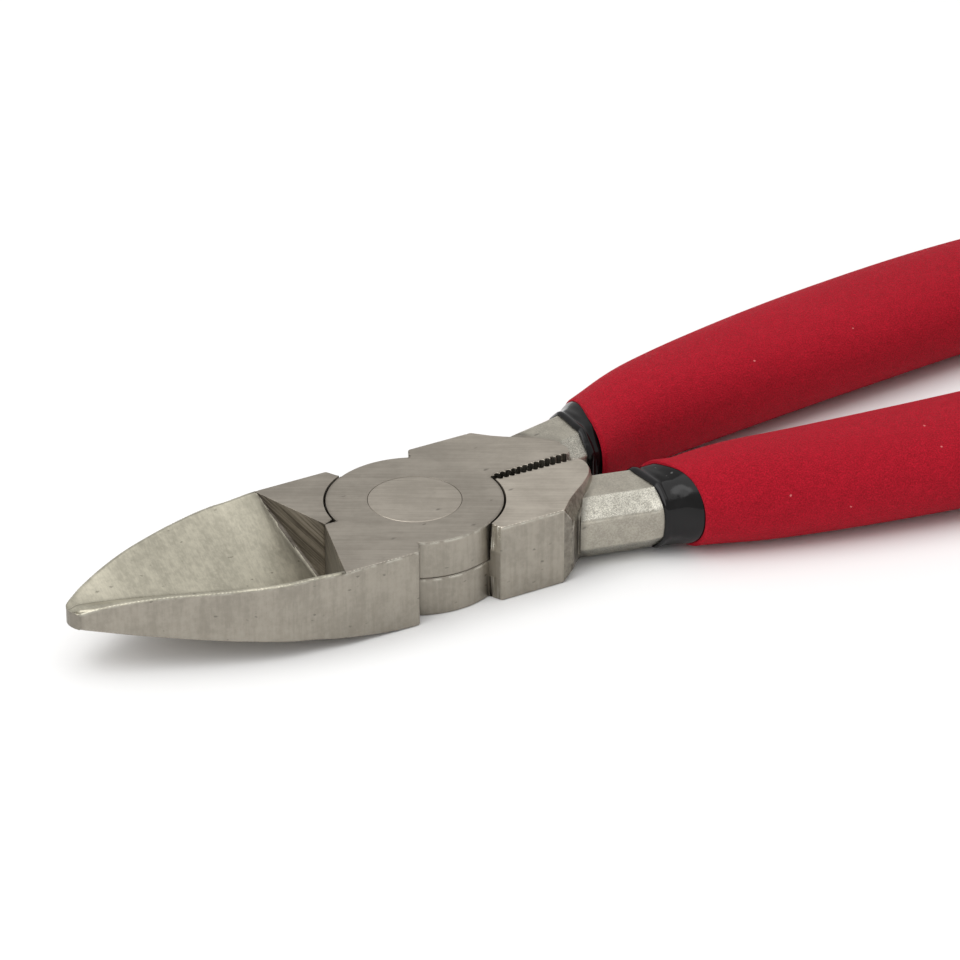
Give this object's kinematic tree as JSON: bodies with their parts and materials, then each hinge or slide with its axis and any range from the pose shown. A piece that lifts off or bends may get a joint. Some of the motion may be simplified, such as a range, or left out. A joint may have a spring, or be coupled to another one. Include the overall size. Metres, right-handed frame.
{
  "type": "diagonal cutting pliers",
  "caption": "Lap-jointed diagonal cutting pliers with a bevelled head, flush pivot rivet, gripping teeth and red dipped grips over black sleeves.",
  "frame": {"origin": "where the pivot's axis meets the underside of the head", "axes": "+X from the tip of the jaws to the ends of the handles, +Y across the tool towards the upper half's handle, +Z along the pivot, out of the bevelled face"},
  "size_m": [0.1982, 0.0622, 0.0133],
  "materials": {
    "forged_steel": "ground and satin nickel plated, with blasted shank chamfers",
    "rivet_steel": "ground flush with the head",
    "black_vinyl": "glossy dipped vinyl",
    "red_vinyl": "matt textured dipped vinyl"
  },
  "bodies": {
    "lower": {"lower_half": "forged_steel", "pivot_rivet": "rivet_steel", "lower_inner_sleeve": "black_vinyl", "lower_grip": "red_vinyl"},
    "upper": {"upper_half": "forged_steel", "upper_inner_sleeve": "black_vinyl", "upper_grip": "red_vinyl"}
  },
  "joints": [
    {"name": "pivot", "type": "hinge", "parent": "lower", "child": "upper", "pos_m": [0, 0, 0.0056], "axis": [0, 0, 1], "range_deg": [0, 48]}
  ]
}
